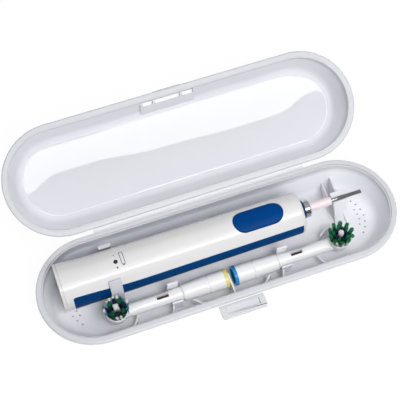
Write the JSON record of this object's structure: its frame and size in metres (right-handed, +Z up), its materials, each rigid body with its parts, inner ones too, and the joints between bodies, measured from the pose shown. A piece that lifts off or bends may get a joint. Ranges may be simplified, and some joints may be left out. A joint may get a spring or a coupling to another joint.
{
  "type": "electric toothbrush travel case",
  "caption": "Rounded two-part travel case, lid hinged open, holding an electric toothbrush handle with a power button and round brush heads in clips.",
  "frame": {"origin": "centre of the flat underside of the base", "axes": "+Z up, +X along the case towards the drive shaft, +Y towards the hinge and the open lid"},
  "size_m": [0.24, 0.1525, 0.0585],
  "materials": {
    "case_plastic": "cool white polypropylene, finely textured outside, satin inside",
    "fold_plastic": "the same polypropylene, thin at the fold lines",
    "handle_plastic": "warm white, glossy",
    "foot_plastic": "warm white, glossy",
    "grip_rubber": "deep blue, satin",
    "button_rubber": "deep blue, satin",
    "collar_plastic": "deep blue",
    "chrome": "polished",
    "neck_plastic": "pale pinkish white",
    "seal_rubber": "black",
    "lamp_plastic": "dark, lets light through",
    "deck_plastic": "grey",
    "cell_sleeve": "green shrink sleeve with steel ends",
    "board": "green lacquer",
    "switch_plastic": "black",
    "coil_wire": "wound copper wire",
    "motor_steel": "plain",
    "pinion_brass": "cut brass",
    "gear_plastic": "natural nylon",
    "frame_plastic": "grey",
    "shaft_steel": "ground steel",
    "head_plastic": "white",
    "yellow_plastic": "yellow",
    "blue_plastic": "blue",
    "link_plastic": "white",
    "plate_plastic": "white",
    "left_nylon": "green, dark blue and white tufts",
    "right_nylon": "green tufts around white ones"
  },
  "bodies": {
    "base": {"base_tray": "case_plastic", "tray_ribs": "case_plastic", "front_arm": "case_plastic", "back_tab": "case_plastic", "neck_cradle": "case_plastic", "head_clips": "case_plastic", "base_hinge_strip": "fold_plastic"},
    "lid": {"lid_shell": "case_plastic", "lid_hinge_strip": "fold_plastic"},
    "latch": {"latch_flap": "case_plastic"},
    "handle": {"handle_shell": "handle_plastic", "foot_cap": "foot_plastic", "front_grip": "grip_rubber", "back_grip": "grip_rubber", "collar": "collar_plastic", "chrome_ring": "chrome", "neck_sleeve": "neck_plastic", "shaft_seal": "seal_rubber", "charge_lamp": "lamp_plastic", "deck": "deck_plastic", "battery_cell": "cell_sleeve", "circuit_board": "board", "button_switch": "switch_plastic", "charge_coil": "coil_wire", "motor": "motor_steel", "gear_frame": "frame_plastic", "shaft_bearing": "frame_plastic"},
    "button": {"power_button": "button_rubber"},
    "pinion": {"motor_pinion": "pinion_brass"},
    "crank": {"crank_gear": "gear_plastic"},
    "shaft": {"drive_shaft": "shaft_steel"},
    "left_brush_head": {"left_head": "head_plastic", "left_ring": "yellow_plastic", "left_link": "link_plastic"},
    "left_brush": {"left_plate": "plate_plastic", "left_bristles": "left_nylon"},
    "right_brush_head": {"right_head": "head_plastic", "right_ring": "blue_plastic", "right_link": "link_plastic"},
    "right_brush": {"right_plate": "plate_plastic", "right_bristles": "right_nylon"}
  },
  "joints": [
    {"name": "lid_hinge", "type": "hinge", "parent": "base", "child": "lid", "pos_m": [0, 0.03783, 0.02145], "axis": [-1, 0, 0], "range_deg": [-150, 0]},
    {"name": "latch_hinge", "type": "hinge", "parent": "base", "child": "latch", "pos_m": [0, -0.0379, 0.0203], "axis": [1, 0, 0], "range_deg": [-90, 0]},
    {"name": "handle_lift", "type": "slide", "parent": "base", "child": "handle", "axis": [0, 0, 1], "range_m": [0, 0.06], "deforming": ["front_arm"]},
    {"name": "left_head_lift", "type": "slide", "parent": "base", "child": "left_brush_head", "axis": [0, 0, 1], "range_m": [0, 0.05]},
    {"name": "right_head_lift", "type": "slide", "parent": "base", "child": "right_brush_head", "axis": [0, 0, 1], "range_m": [0, 0.05]},
    {"name": "button_press", "type": "slide", "parent": "handle", "child": "button", "axis": [0, -0.1219, 0.9925], "range_m": [-0.0005, 0], "stiffness_N_per_m": 2000, "springref_m": 0.0003},
    {"name": "motor_spin", "type": "hinge", "parent": "handle", "child": "pinion", "pos_m": [0, 0.0037, 0.01705], "axis": [1, 0, 0], "continuous": true},
    {"name": "crank_spin", "type": "hinge", "parent": "handle", "child": "crank", "pos_m": [0, 0.00936, 0.01205], "axis": [1, 0, 0], "continuous": true},
    {"name": "shaft_swing", "type": "hinge", "parent": "handle", "child": "shaft", "pos_m": [0, 0.0086, 0.0182], "axis": [1, 0, 0], "range_deg": [-22.5, 22.5]},
    {"name": "left_brush_swing", "type": "hinge", "parent": "left_brush_head", "child": "left_brush", "pos_m": [-0.0746, -0.0168, 0.0093], "axis": [0, 0, 1], "range_deg": [-22.5, 22.5]},
    {"name": "right_brush_swing", "type": "hinge", "parent": "right_brush_head", "child": "right_brush", "pos_m": [0.0766, -0.0168, 0.0093], "axis": [0, 0, 1], "range_deg": [-22.5, 22.5]}
  ],
  "couplings": [
    {"joint": "motor_spin", "follows": "crank_spin", "ratio": -2}
  ]
}
